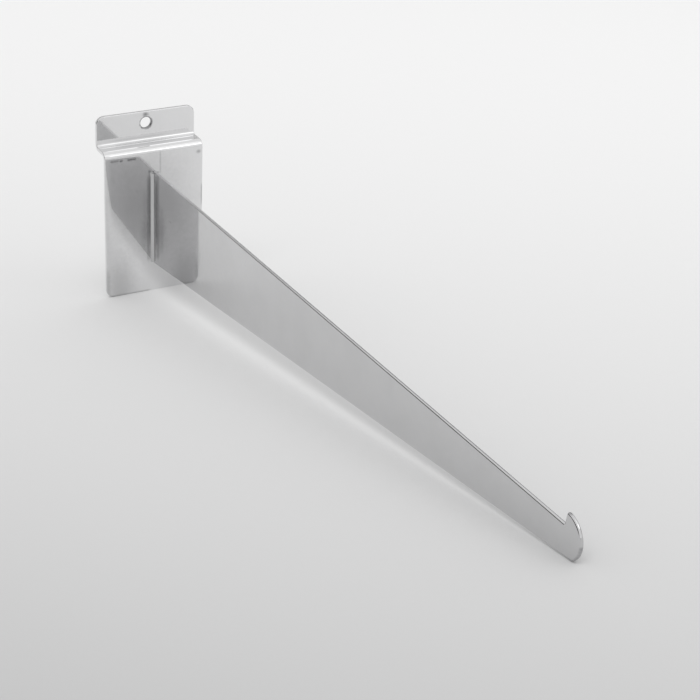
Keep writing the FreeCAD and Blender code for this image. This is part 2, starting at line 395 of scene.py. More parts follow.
@dataclass(frozen=True)
class Chrome:
    """Bright chrome plating over polished steel.

    Args:
        name: The material's name.
        tint: The metal's colour.
        shade: The colour of its milky places.
        roughness: Its lowest roughness.
        haze: How much rougher its milky places are.
        wiping: How much rougher its wiping marks are.
        haze_share: Share of the milky places in the shade, of which the wiping marks have the rest.
        cloud: Size of the milky places.
        stroke: Size of the wiping marks before they are stretched.
        sag: Height of the slow waves that the sheet has under the plating.
        spread: Length of those waves.
        grain: Which way the polishing lines run.
        grain_width: Width of the polishing lines before they are stretched.
        grain_height: Height of the polishing lines.
        pitting: Height of the small nibs in the plating.
        pit_gap: Distance from one nib to the next.
        pit_share: Radius of a nib, as a share of that distance.
        marks: Its dark places: mostly painted shade and painted dark reflections, and a few blemishes.
        blemish_and_shade_colour: The colour of those places.
        dulling: How much rougher they are.
        bay: Size of the bays in their borders.
        bay_depth: How far the bays shift the borders, as a share of the fade.
    """

    name: str
    tint: Point3 = (0.82, 0.82, 0.825)
    shade: Point3 = (0.77, 0.77, 0.775)
    roughness: float = 0.02
    haze: float = 0.045
    wiping: float = 0.03
    haze_share: float = 0.7
    cloud: float = 15.0 * MM
    stroke: float = 5.0 * MM
    sag: float = 0.02 * MM
    spread: float = 26.0 * MM
    grain: Grain = Grain.NONE
    grain_width: float = 1.2 * MM
    grain_height: float = 0.0006 * MM
    pitting: float = 0.002 * MM
    pit_gap: float = 7.0 * MM
    pit_share: float = 0.055
    marks: Tuple[Mark, ...] = ()
    blemish_and_shade_colour: Point3 = (0.10, 0.10, 0.105)
    dulling: float = 0.2
    bay: float = 1.4 * MM
    bay_depth: float = 0.3

    def make(self) -> bpy.types.Material:
        """Builds the material.

        Returns:
            The material.
        """
        material, board = new_material(self.name)
        place = board.node("ShaderNodeTexCoord", None, None, "Object")
        across, along = self.grain.value
        feeds = {"Vector": place, "Scale": (across, along, along)}
        stretched = board.node("ShaderNodeMapping", {"vector_type": "POINT"}, feeds)
        haze = board.ramp(board.noise(place, self.cloud, 3.0), ((0.42, 0.0), (0.78, 1.0)))
        rubbed = board.ramp(board.noise(stretched, self.stroke, 2.0, 0.6), ((0.5, 0.0), (0.8, 1.0)))
        share = haze * self.haze_share + rubbed * (1.0 - self.haze_share)
        colour = board.blend(share, (*self.tint, 1.0), (*self.shade, 1.0))
        roughness = haze * self.haze + rubbed * self.wiping + self.roughness
        ragged = (board.noise(place, self.bay, 2.0) - 0.5) * self.bay_depth
        # The marks blend their painted shade, painted dark reflections and blemishes into the colour.
        for mark in self.marks:
            depth = mark.over(board, place, ragged)
            colour = board.blend(depth, colour, (*self.blemish_and_shade_colour, 1.0))
            roughness = roughness + depth * self.dulling
        relief = self._relief(board, place, stretched)
        normal = board.node("ShaderNodeBump", None, {"Strength": 1.0, "Distance": 1.0, "Height": relief})
        feeds = {"Base Color": colour, "Metallic": 1.0, "Roughness": roughness, "Normal": normal}
        shader = board.node("ShaderNodeBsdfPrincipled", None, feeds)
        board.node("ShaderNodeOutputMaterial", None, {"Surface": shader})
        return material

    def _relief(self, board: Board, place: Signal, stretched: Signal) -> Signal:
        """The surface's height: slow waves of the sheet, polishing lines, and small nibs.

        Args:
            board: The material's board.
            place: The surface's coordinates.
            stretched: The same, stretched along the polishing lines.

        Returns:
            The height's signal.
        """
        waves = board.noise(place, self.spread, 0.0)
        lines = board.noise(stretched, self.grain_width, 2.0, 0.55)
        feeds = {"Vector": place, "Scale": 1.0 / self.pit_gap}
        cells = board.node("ShaderNodeTexVoronoi", {"feature": "F1"}, feeds, "Distance")
        nibs = board.ramp(cells, ((0.0, 1.0), (self.pit_share, 0.0)))
        return waves * self.sag + lines * self.grain_height + nibs * self.pitting


@dataclass(frozen=True)
class SweepPaper:
    """Pale matt paper under the hook, whose colour brightens towards the back and the right: a painted falloff of
    light, as from a lamp behind.

    Args:
        name: The material's name.
        near: Its tone in front and to the left.
        far: Its tone far behind and to the right.
        length: How slowly it brightens.
        slant: How much faster it brightens to the right than to the back.
        start: How far in front of the hook it begins to brighten.
        fibre: Size of its fibres.
    """

    name: str = "pale_sweep"
    near: float = 0.393
    far: float = 0.98
    length: float = 0.69
    slant: float = 1.13
    start: float = 0.75
    fibre: float = MM / 0.9

    def make(self) -> bpy.types.Material:
        """Builds the material. From below, the camera looks through it.

        Returns:
            The material.
        """
        material, board = new_material(self.name)
        place = board.node("ShaderNodeTexCoord", None, None, "Object")
        axes = board.node("ShaderNodeSeparateXYZ", None, {"Vector": place}, "X")
        # Painted light: the paper's colour brightens exponentially towards the back and the right, as light from a
        # lamp behind would.
        depth = (axes * self.slant + axes.also("Y") + self.start).math("MAXIMUM", 0.0)
        share = 1.0 - (-depth / self.length).math("EXPONENT")
        near = (self.near, self.near, self.near * 1.004, 1.0)
        fibres = board.noise(place, self.fibre, 2.0, 0.6)
        normal = board.node("ShaderNodeBump", None, {"Strength": 0.15, "Distance": 0.0002, "Height": fibres})
        feeds = {
            "Base Color": board.blend(share, near, grey(self.far)),
            "Roughness": 0.9,
            "Specular IOR Level": 0.1,
            "Normal": normal,
        }
        paper = board.node("ShaderNodeBsdfPrincipled", None, feeds)
        under = board.node("ShaderNodeNewGeometry", None, None, "Backfacing")
        seen = board.node("ShaderNodeLightPath", None, None, "Is Camera Ray")
        clear = board.node("ShaderNodeBsdfTransparent")
        mixed = board.node("ShaderNodeMixShader", None, {0: under * seen, 1: paper, 2: clear})
        board.node("ShaderNodeOutputMaterial", None, {"Surface": mixed})
        return material


@dataclass(frozen=True)
class CardStock:
    """Matt card that shades the chrome in its reflections.

    Args:
        name: The material's name.
        tone: Its grey.
    """

    name: str = "dark_card"
    tone: float = 0.03

    def make(self) -> bpy.types.Material:
        """Builds the material.

        Returns:
            The material.
        """
        material, board = new_material(self.name)
        feeds = {"Base Color": grey(self.tone), "Roughness": 1.0}
        shader = board.node("ShaderNodeBsdfPrincipled", None, feeds)
        board.node("ShaderNodeOutputMaterial", None, {"Surface": shader})
        return material


@dataclass(frozen=True)
class Rim:
    """One point on the way round a sheet's edge, from its front face over the edge to its back face.

    Args:
        inset: How far the point lies inside the sheet's outline.
        level: Its height over the middle of the sheet.
        outward: How far its normal points out of the outline.
        facing: How far its normal points out of the front face.
    """

    inset: float
    level: float
    outward: float
    facing: float


@dataclass(frozen=True)
class SheetEdge:
    """The edge of a polished sheet: the faces roll off a little, and the corners are eased.

    Args:
        gauge: The sheet's thickness.
        easing: Radius of the eased corners.
        roll: Width of the strip along the edge in which the face rolls off.
        drop: How far the face has dropped where the easing begins.
        roll_steps: Faces across that strip.
        easing_steps: Faces round each eased corner.
    """

    gauge: float
    easing: float = 0.3 * MM
    roll: float = 3.2 * MM
    drop: float = 0.10 * MM
    roll_steps: int = 6
    easing_steps: int = 8

    def half(self) -> List[Rim]:
        """The rim from the front face to the side wall.

        Returns:
            Its points, face first.
        """
        lean = math.atan(2 * self.drop / (self.roll - self.easing))
        width = self.roll - self.easing * (1 - math.sin(lean))
        points = []
        for step in range(self.roll_steps + 1):
            along = step / self.roll_steps
            tilt = math.atan(2 * self.drop * along / width)
            level = self.gauge / 2 - self.drop * along**2
            points.append(Rim(self.roll - width * along, level, math.sin(tilt), math.cos(tilt)))
        middle = self.gauge / 2 - self.drop - self.easing * math.cos(lean)
        for step in range(1, self.easing_steps + 1):
            tilt = lean + (QUARTER - lean) * step / self.easing_steps
            inset = self.easing * (1 - math.sin(tilt))
            level = middle + self.easing * math.cos(tilt)
            points.append(Rim(inset, level, math.sin(tilt), math.cos(tilt)))
        return points

    def rims(self) -> List[Rim]:
        """The whole rim.

        Returns:
            Its points, from the front face over the edge to the back face.
        """
        front = self.half()
        back = [Rim(rim.inset, -rim.level, rim.outward, -rim.facing) for rim in reversed(front)]
        return front + back


@dataclass
class Skin:
    """A closed mesh under construction, in which each vertex has its exact normal.

    Args:
        points: The vertices.
        normals: Their normals.
        faces: The faces, as the numbers of their vertices.
    """

    points: List[Point3] = field(default_factory=list)
    normals: List[Point3] = field(default_factory=list)
    faces: List[List[int]] = field(default_factory=list)

    def add(self, point: Point3, normal: Point3) -> int:
        """Adds a vertex.

        Args:
            point: Its place.
            normal: Its normal.

        Returns:
            Its number.
        """
        self.points.append(point)
        self.normals.append(normal)
        return len(self.points) - 1

    def band(self, first: Sequence[int], second: Sequence[int]) -> None:
        """Joins two closed rings of vertices by a band of faces.

        Args:
            first: The vertices of one ring.
            second: The vertices of the other ring, each beside that of the first.
        """
        for here, there, over, under in zip(first, [*first[1:], first[0]], [*second[1:], second[0]], second):
            self.faces.append([here, there, over, under])

    def mesh(self, name: str) -> bpy.types.Mesh:
        """The mesh, with its normals as an attribute and its faces smooth.

        Args:
            name: The mesh's name.

        Returns:
            The mesh.
        """
        mesh = bpy.data.meshes.new(name)
        mesh.from_pydata(self.points, [], self.faces)
        mesh.polygons.foreach_set("use_smooth", [True] * len(mesh.polygons))
        facing = mesh.attributes.new(FACING, "FLOAT_VECTOR", "POINT")
        facing.data.foreach_set("vector", [value for normal in self.normals for value in normal])
        mesh.update()
        return mesh


def settle_normals(mesh: bpy.types.Mesh) -> None:
    """Turns the stored facing of each vertex into the mesh's own normals.

    Args:
        mesh: A mesh with a facing attribute, which is removed.
    """
    facing = mesh.attributes[FACING]
    flat = [0.0] * (3 * len(mesh.vertices))
    facing.data.foreach_get("vector", flat)
    mesh.attributes.remove(facing)
    normals = [Vector(flat[start : start + 3]).normalized() for start in range(0, len(flat), 3)]
    mesh.normals_split_custom_set_from_vertices(normals)


def show(mesh: bpy.types.Mesh, name: str, slot: str, *nodes: str) -> bpy.types.Object:
    """Puts a finished piece in the scene in place of its CAD nodes.

    Args:
        mesh: The piece's mesh, already in place.
        name: The piece's name.
        slot: The material slot that its finish belongs to; not used.
        nodes: The CAD nodes that it stands for.

    Returns:
        The piece.
    """
    piece = bpy.data.objects.new(name, mesh)
    bpy.context.scene.collection.objects.link(piece)
    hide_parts(*nodes)
    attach(piece, "root")
    LOG.info("%s: %d vertices, %d faces", name, len(mesh.vertices), len(mesh.polygons))
    return piece


@dataclass(frozen=True)
class Backplate:
    """The backplate: a flat blank with rounded corners and a screw hole, folded twice.

    Args:
        width: Width of the strip.
        gauge: Thickness of the sheet.
        bend: Inner radius of both bends.
        gap: From the wall's face to the front of the tab.
        rise: Top of the tab above the jog's upper face.
        drop: Bottom of the plate below the jog's underside.
        corner: Rounding of the blank's corners.
        hole: Diameter of the screw hole.
        hole_rise: Middle of the screw hole above the jog's upper face.
        hole_easing: Rounding of the hole's mouths.
        hole_roll: Width of the strip round the hole in which the face rolls off.
        hole_drop: How far the face has dropped where the rounding of the hole's mouths begins.
        end_share: How wide the faces' roll-off is at the strip's ends, as a share of that along its sides.
        bend_steps: Faces round each bend.
        corner_steps: Faces round each corner.
        hole_steps: Faces round half the hole.
    """

    width: float = 50.0 * MM
    gauge: float = 2.0 * MM
    bend: float = 1.5 * MM
    gap: float = 8.2 * MM
    rise: float = 14.4 * MM
    drop: float = 72.7 * MM
    corner: float = 4.0 * MM
    hole: float = 5.5 * MM
    hole_rise: float = 8.7 * MM
    hole_easing: float = 0.5 * MM
    hole_roll: float = 0.75 * MM
    hole_drop: float = 0.01 * MM
    end_share: float = 0.5
    bend_steps: int = 24
    corner_steps: int = 12
    hole_steps: int = 24

    @property
    def arc(self) -> float:
        """Length of each bend along the middle of the sheet."""
        return QUARTER * (self.bend + self.gauge / 2)

    @property
    def upper_line(self) -> float:
        """Where the upper bend begins on the flat blank."""
        return -self.bend + self.arc + self.gap - 2 * self.bend

    @property
    def tab_line(self) -> float:
        """Where the tab begins on the flat blank."""
        return self.upper_line + self.arc

    @property
    def top(self) -> float:
        """Top of the flat blank."""
        return self.tab_line + self.rise - self.bend

    def stations(self) -> List[float]:
        """Where the strip can bend.

        Returns:
            Heights on the flat blank, in rising order.
        """
        lines = []
        for start in (-self.bend, self.upper_line):
            lines += [start + self.arc * step / self.bend_steps for step in range(self.bend_steps + 1)]
        return lines

    def outline(self, inset: float) -> Outline:
        """The blank's outline, seen from the front and running anticlockwise from the right side's foot.

        Args:
            inset: How far inside the real outline it runs.

        Returns:
            Its points with their outward normals. The stations' points come first on the right side, the point
            in the middle of the top follows, and then the stations on the left side in falling order.
        """
        side = self.width / 2
        eased = min(inset, SheetEdge.easing)
        end_inset = eased + (inset - eased) * self.end_share
        radii = (self.corner - inset, self.corner - end_inset)
        reach, head, foot = side - self.corner, self.top - self.corner, self.corner - self.drop
        centres = ((reach, head), (-reach, head), (-reach, foot), (reach, foot))
        turns = [self._turn(centre, radii, number * QUARTER) for number, centre in enumerate(centres)]
        stations = self.stations()
        right = [((side - inset, height), (1.0, 0.0)) for height in stations]
        left = [((inset - side, height), (-1.0, 0.0)) for height in reversed(stations)]
        middle = [((0.0, self.top - end_inset), (0.0, 1.0))]
        return right + turns[0] + middle + turns[1] + left + turns[2] + turns[3]

    def _turn(self, centre: Point2, radii: Point2, start: float) -> Outline:
        """One rounded corner of the blank.

        Args:
            centre: The rounding's centre.
            radii: Its radius across the strip, and along it.
            start: The angle at which it begins.

        Returns:
            Its points with their outward normals.
        """
        angles = [start + QUARTER * step / self.corner_steps for step in range(self.corner_steps + 1)]
        directions = [(math.cos(angle), math.sin(angle)) for angle in angles]
        return [((centre[0] + radii[0] * c, centre[1] + radii[1] * s), (c, s)) for c, s in directions]

    def blank(self) -> bpy.types.Mesh:
        """The flat blank, standing in the plate's plane.

        Returns:
            Its mesh.
        """
        skin = Skin()
        rings = self._rim_rings(skin)
        hole_rings = self._hole_rings(skin)
        for first, second in zip(rings, rings[1:]):
            skin.band(second, first)
        for first, second in zip(hole_rings, hole_rings[1:]):
            skin.band(first, second)
        self._face(skin, rings[0], hole_rings[0], True)
        self._face(skin, rings[-1], hole_rings[-1], False)
        return skin.mesh("blank")

    def _rim_rings(self, skin: Skin) -> List[List[int]]:
        """Lays the rings of vertices round the blank's edge.

        Args:
            skin: The mesh under construction.

        Returns:
            The rings' vertices, front face first.
        """
        rings = []
        for rim in SheetEdge(self.gauge).rims():
            ring = []
            for (x, z), (out_x, out_z) in self.outline(rim.inset):
                point = (x, -self.gauge / 2 - rim.level, z)
                ring.append(skin.add(point, (out_x * rim.outward, -rim.facing, out_z * rim.outward)))
            rings.append(ring)
        return rings

    def _hole_rings(self, skin: Skin) -> List[List[int]]:
        """Lays the rings of vertices through the hole.

        Args:
            skin: The mesh under construction.

        Returns:
            The rings' vertices, front mouth first, each ring from the top over the left.
        """
        height = self.tab_line + self.hole_rise - self.bend
        edge = SheetEdge(self.gauge, self.hole_easing, self.hole_roll, self.hole_drop)
        rings = []
        for rim in edge.rims():
            radius = self.hole / 2 + rim.inset
            ring = []
            for step in range(2 * self.hole_steps):
                angle = QUARTER + math.pi * step / self.hole_steps
                c, s = math.cos(angle), math.sin(angle)
                point = (radius * c, -self.gauge / 2 - rim.level, height + radius * s)
                ring.append(skin.add(point, (-c * rim.outward, -rim.facing, -s * rim.outward)))
            rings.append(ring)
        return rings

    def _face(self, skin: Skin, ring: Sequence[int], mouth: Sequence[int], front: bool) -> None:
        """Fills the front or the back of the blank inside its rim.

        Args:
            skin: The mesh under construction.
            ring: The innermost ring of the rim.
            mouth: The outermost ring of the hole.
            front: Whether this is the front face.
        """
        count = len(self.stations())
        crown = count + self.corner_steps + 1
        left_start = crown + 1 + self.corner_steps + 1
        right = list(ring[:count])
        left = list(reversed(ring[left_start : left_start + count]))
        level = skin.points[ring[0]][1]
        seam = skin.add((0.0, level, self.tab_line), (0.0, -1.0 if front else 1.0, 0.0))
        faces = [[*ring[left_start + count - 1 :], right[0]]]
        for step in range(count - 1):
            faces.append([left[step], right[step], right[step + 1], left[step + 1]])
        faces[-1].insert(3, seam)
        half = len(mouth) // 2
        faces.append([seam, *ring[count - 1 : crown + 1], mouth[0], *reversed(mouth[half:])])
        faces.append([*ring[crown : left_start + 1], seam, *reversed(mouth[: half + 1])])
        skin.faces += faces if front else [list(reversed(face)) for face in faces]

    def fold_tree(self) -> FormTree:
        """The rule that folds the blank: two bends of a press brake, the upper one first.

        Returns:
            The geometry node tree.
        """
        tree = FormTree("PressBrake")
        gauge, bend, gap = (tree.size(name) for name in ("Gauge", "Bend Radius", "Lip Gap"))
        arc = (gauge / 2 + bend) * QUARTER
        upper = arc + gap - bend * 3
        folded = self._bend(tree, tree.entry("Geometry"), upper, -gauge - bend, arc, 1.0)
        folded = self._bend(tree, folded, -bend, bend, arc, -1.0)
        tree.close(folded)
        return tree

    @staticmethod
    def _bend(tree: FormTree, geometry: Signal, line: Signal, axis: Signal, arc: Signal, sense: float) -> Signal:
        """Bends what lies above a line by a right angle.

        Args:
            tree: The geometry node tree.
            geometry: The geometry to bend.
            line: Height at which the bend begins.
            axis: Depth of the bend's axis.
            arc: Length of the bend along the middle of the sheet.
            sense: 1 to bend forwards, or -1 to bend backwards.

        Returns:
            The bent geometry.
        """
        position = tree.node("GeometryNodeInputPosition")
        height = tree.node("ShaderNodeSeparateXYZ", None, {"Vector": position}, "Z")
        taken = (height - line).math("MAXIMUM", 0.0).math("MINIMUM", arc)
        angle = taken / arc * (sense * QUARTER)
        moved = tree.vector_math("SUBTRACT", position, tree.vector(0.0, 0.0, taken))
        about_x = {"rotation_type": "X_AXIS"}
        centre = tree.vector(0.0, axis, line)
        turned = tree.node("ShaderNodeVectorRotate", about_x, {"Vector": moved, "Center": centre, "Angle": angle})
        vector = {"data_type": "FLOAT_VECTOR"}
        facing = tree.node("GeometryNodeInputNamedAttribute", vector, {"Name": FACING})
        faced = tree.node("ShaderNodeVectorRotate", about_x, {"Vector": facing, "Angle": angle})
        feeds = {"Geometry": geometry, "Name": FACING, "Value": faced}
        stored = tree.node("GeometryNodeStoreNamedAttribute", {**vector, "domain": "POINT"}, feeds)
        return tree.node("GeometryNodeSetPosition", None, {"Geometry": stored, "Position": turned})

    def finish(self) -> Chrome:
        """The plating, with its dark places: painted shade, painted dark reflections, a blemish, and some dark spots
        and lines.

        Returns:
            The finish.
        """
        # Painted shade in the hole's wall and round its mouth, and a dark smudge above the hole.
        round_hole = (
            Mark(mm(0.0, 9.2, 10.7), mm(3.8, 4.0, 3.8), 0.62, edge=0.82),
            Mark(mm(-0.2, 8.2, 14.9), mm(2.4, 2.0, 1.7), 0.70),
        )
        # Painted shade in the corner beside the bead, broad painted shade over the reflections in most of the plate's
        # front, and more at its lower left.
        beside_bead = (
            Mark(mm(-3.2, -2.0, -34.0), mm(0.9, 3.0, 4.0), 0.33, mm(0.3, 0.0, 20.0)),
            Mark(mm(-5.0, -2.0, -42.0), mm(4.0, 3.0, 14.0), 0.20),
            Mark(mm(-5.0, -2.0, -24.0), mm(36.0, 4.0, 42.0), 0.28),
            Mark(mm(-18.0, -2.0, -67.0), mm(12.0, 4.0, 22.0), 0.24),
        )
        # A thin dark line along the right edge, and painted shade along the foot, where the plate stands on the
        # paper.
        along_edges = (
            Mark(mm(24.6, -2.0, -25.5), mm(0.6, 2.0, 3.0), 0.40, mm(0.0, 0.0, 3.5)),
            Mark(mm(-13.0, -2.0, -72.5), mm(2.0, 2.0, 1.1), 0.40, mm(9.5, 0.0, 0.0)),
        )
        over_arm = (
            Mark(mm(-2.7, -2.0, -9.9), mm(1.2, 2.0, 1.3), 0.50),
            Mark(mm(2.95, -2.0, -6.0), mm(0.7, 2.0, 2.0), 0.25, mm(0.0, 0.0, 4.5)),
        )
        # Painted dark reflections in dashes under the upper bend's highlight, and a blemish near the bend's right
        # end.
        under_bend = (
            Mark(mm(-20.2, -2.0, -2.3), mm(0.9, 1.5, 0.9), 0.45, mm(1.6, 0.0, 0.0)),
            Mark(mm(-16.9, -2.0, -2.5), mm(1.4, 1.5, 1.0), 0.70),
            Mark(mm(-11.6, -2.0, -2.5), mm(0.9, 1.5, 1.0), 0.65, mm(1.7, 0.0, 0.0)),
            Mark(mm(22.8, -2.0, -3.3), mm(1.9, 2.0, 1.5), 0.45),
        )
        # Painted shade over the jog's reflections between the bends, and over the reflection in the roll-off along
        # the plate's lower left edge.
        on_jog_and_side = (
            Mark(mm(-2.0, 5.2, 2.0), mm(15.0, 4.6, 2.6), 0.22, mm(6.0, 0.0, 0.0)),
            Mark(mm(-24.3, -2.0, -66.0), mm(1.8, 2.0, 8.0), 0.22, mm(0.0, 0.0, 3.0)),
        )
        marks = round_hole + beside_bead + along_edges + over_arm + under_bend + on_jog_and_side
        return Chrome("plate_chrome_finish", grain=Grain.ALONG_STRIP, marks=marks)

    def build(self) -> bpy.types.Object:
        """Folds the blank, dresses it and shows it.

        Returns:
            The piece.
        """
        sizes = {"Gauge": self.gauge, "Bend Radius": self.bend, "Lip Gap": self.gap}
        mesh = self.fold_tree().bake(self.blank(), "folded_backplate", sizes, self.finish().make())
        settle_normals(mesh)
        return show(mesh, "folded_backplate", "plate_chrome", "backplate")


@dataclass(frozen=True)
class Arc:
    """An arc of the arm's outline.

    Args:
        centre: Its centre.
        start: Its first point.
        end: Its last point, less than half a turn on.
        steps: How many faces it has.
        hollow: Whether it is a hollow corner.
    """

    centre: Point2
    start: Point2
    end: Point2
    steps: int
    hollow: bool = False

    def turned(self) -> "Arc":
        """The same arc, run from its other end."""
        return replace(self, start=self.end, end=self.start)

    def points(self) -> Outline:
        """The arc's course.

        Returns:
            Its points with their outward normals.
        """
        radius = math.dist(self.centre, self.start)
        first = math.atan2(self.start[1] - self.centre[1], self.start[0] - self.centre[0])
        last = math.atan2(self.end[1] - self.centre[1], self.end[0] - self.centre[0])
        sweep = (last - first + math.pi) % (2 * math.pi) - math.pi
        sign = -1.0 if self.hollow else 1.0
        made = []
        for step in range(self.steps + 1):
            angle = first + sweep * step / self.steps
            c, s = math.cos(angle), math.sin(angle)
            point = (self.centre[0] + radius * c, self.centre[1] + radius * s)
            made.append((point, (sign * c, sign * s)))
        return made


@dataclass(frozen=True)
class Arm:
    """The tapered arm, seen from its right side with the root on the right and the nose on the left.

    Args:
        gauge: Thickness of the sheet.
        plate: Thickness of the backplate that its root stands on.
        reach: Foremost point of the nose in front of the backplate.
        root_drop: Upper end of the root below the jog's underside.
        root_height: Height of the root.
        tip_rise: Foot of the nib above the upper end of the root.
        nose: Radius of the nose.
        chin: Angle that the nose's arc runs on below its foremost point.
        chin_round: Rounding of the chin.
        nib_height: Height of the nib.
        nib_lean: How far the nib's back leans forward.
        nib_round: Rounding of the nib's top.
        notch_round: Rounding of the corner behind the nib.
        root_round: Rounding of the root's corners.
        easing: Rounding of the long edges.
        roll: Width of the strip along the edges in which the faces roll off.
        roll_drop: How far the faces have dropped where the easing begins.
        corner_steps: Faces round each corner.
        nose_steps: Faces round the nose.
        touching: Distance within which two points of the outline are one.
    """

    gauge: float = 1.6 * MM
    plate: float = 2.0 * MM
    reach: float = 350.5 * MM
    root_drop: float = 9.8 * MM
    root_height: float = 48.2 * MM
    tip_rise: float = 4.9 * MM
    nose: float = 9.0 * MM
    chin: float = math.radians(52.0)
    chin_round: float = 1.2 * MM
    nib_height: float = 5.1 * MM
    nib_lean: float = 0.7 * MM
    nib_round: float = 0.8 * MM
    notch_round: float = 0.6 * MM
    root_round: float = 0.75 * MM
    easing: float = 0.7 * MM
    roll: float = 0.73 * MM
    roll_drop: float = 0.004 * MM
    corner_steps: int = 8
    nose_steps: int = 48
    touching: float = 0.001 * MM

    @property
    def nose_centre(self) -> Point2:
        """The middle of the nose's arc, as depth and height."""
        height = self.tip_rise + self.nib_height - self.root_drop - self.nose
        return (self.nose - self.plate - self.reach, height)

    def outline(self) -> Outline:
        """The arm's outline, seen from its left side, as depth and height.

        Returns:
            Its points with their outward normals, from the root's foot over the nose to the root's top.
        """
        root = -self.plate
        centre = self.nose_centre
        root_top = (root, -self.root_drop)
        root_foot = (root, -self.root_drop - self.root_height)
        chin = (centre[0] - self.nose * math.cos(self.chin), centre[1] - self.nose * math.sin(self.chin))
        notch = (centre[0] + self.nib_lean, self.tip_rise - self.root_drop)
        nib = (centre[0], centre[1] + self.nose)
        chin_arc = self._meet_nose(root_foot, chin, self.chin_round)
        nib_arc = self._meet_nose(notch, nib, self.nib_round).turned()
        arcs = [
            self._corner(root_top, root_foot, chin, self.root_round),
            chin_arc,
            Arc(centre, chin_arc.end, nib_arc.start, self.nose_steps),
            nib_arc,
            self._corner(nib, notch, root_top, self.notch_round, True),
            self._corner(notch, root_top, root_foot, self.root_round),
        ]
        made: Outline = []
        for arc in arcs:
            points = arc.points()
            if made and math.dist(made[-1][0], points[0][0]) < self.touching:
                points = points[1:]
            made += points
        return made

    def _corner(
        self, before: Point2, corner: Point2, after: Point2, radius: float, hollow: bool = False
    ) -> Arc:
        """The rounding between two straight edges.

        Args:
            before: A point on the edge that comes in.
            corner: Where the edges would meet.
            after: A point on the edge that goes out.
            radius: The rounding's radius.
            hollow: Whether the corner is a hollow one.

        Returns:
            The rounding's arc.
        """
        place = Vector(corner)
        back = (Vector(before) - place).normalized()
        ahead = (Vector(after) - place).normalized()
        half = back.angle(ahead) / 2
        run = radius / math.tan(half)
        centre = place + (back + ahead).normalized() * (radius / math.sin(half))
        ends = (tuple(place + back * run), tuple(place + ahead * run))
        return Arc(tuple(centre), *ends, self.corner_steps, hollow)

    def _meet_nose(self, far: Point2, corner: Point2, radius: float) -> Arc:
        """The rounding between a straight edge and the nose's arc.

        Args:
            far: The straight edge's other end.
            corner: Where the edge would meet the arc.
            radius: The rounding's radius.

        Returns:
            The rounding's arc, from the straight edge to the nose.
        """
        place, middle = Vector(corner), Vector(self.nose_centre)
        big = (place - middle).length
        along = (Vector(far) - place).normalized()
        inward = Vector((-along.y, along.x))
        if inward.dot(middle - place) < 0:
            inward.negate()
        start = place + inward * radius
        gap = start - middle
        lead = gap.dot(along)
        run = -lead - math.sqrt(lead**2 - gap.length_squared + (big - radius) ** 2)
        centre = start + along * run
        on_nose = middle + (centre - middle).normalized() * big
        return Arc(tuple(centre), tuple(centre - inward * radius), tuple(on_nose), self.corner_steps)

    def finish(self) -> Chrome:
        """The plating, with painted dark reflections round the nose's rim and on the nib's top, painted shade at the
        root and over the arm's rear part, a painted contact shadow at the chin, and a small blemish.

        Returns:
            The finish.
        """
        depth, height = (length / MM for length in self.nose_centre)
        radius = self.nose / MM + 0.5
        # Painted dark reflections round the nose's rim. Each place of the rim: its X, its fade along X, its depth,
        # and its angle below the foremost point
        near_rim = [(-0.8, 3.0, 0.70, 2.0 + 9.0 * step) for step in range(6)]
        far_rim = [(0.9, 1.2, 0.60, 9.0 * step - 43.0) for step in range(11)]
        rim = []
        for across, fade, dark, turn in near_rim + far_rim:
            ahead, down = radius * math.cos(math.radians(turn)), radius * math.sin(math.radians(turn))
            rim.append(Mark(mm(across, depth - ahead, height - down), mm(fade, 1.5, 1.5), dark))
        # Painted shade in the corner beside the bead and over the arm's rear part, a painted contact shadow at the
        # chin, a painted dark reflection on the nib's top, and a small blemish.
        places = (
            Mark(mm(-0.8, -5.8, -30.0), mm(1.0, 1.6, 10.0), 0.58, mm(0.0, 0.5, 12.0)),
            Mark(mm(-0.8, -11.0, -36.5), mm(1.0, 3.4, 6.0), 0.14, mm(0.0, 1.5, 9.0)),
            Mark(mm(-0.8, -18.0, -40.0), mm(2.0, 110.0, 62.0), 0.18),
            Mark(mm(-0.2, -349.4, -16.4), mm(2.0, 4.4, 1.9), 0.80),
            Mark(mm(0.0, -344.2, 0.3), mm(2.0, 2.4, 1.2), 0.60),
            Mark(mm(-0.8, -22.2, -28.1), mm(1.0, 2.2, 0.6), 0.35),
        )
        return Chrome(
            "arm_chrome_finish",
            tint=(0.67, 0.67, 0.675),
            shade=(0.63, 0.63, 0.635),
            grain=Grain.ALONG_ARM,
            sag=0.015 * MM,
            spread=40.0 * MM,
            marks=(*rim, *places),
        )

    def build(self) -> bpy.types.Object:
        """Builds the arm, dresses it and shows it.

        Returns:
            The piece.
        """
        skin = Skin()
        outline = self.outline()
        rings = []
        for rim in SheetEdge(self.gauge, self.easing, self.roll, self.roll_drop).rims():
            ring = []
            for (y, z), (out_y, out_z) in outline:
                point = (-rim.level, y - out_y * rim.inset, z - out_z * rim.inset)
                ring.append(skin.add(point, (-rim.facing, out_y * rim.outward, out_z * rim.outward)))
            rings.append(ring)
        for first, second in zip(rings, rings[1:]):
            skin.band(second, first)
        skin.faces.append(list(rings[0]))
        skin.faces.append(list(reversed(rings[-1])))
        mesh = skin.mesh("tapered_arm")
        mesh.materials.append(self.finish().make())
        settle_normals(mesh)
        return show(mesh, "tapered_arm", "arm_chrome", "arm")


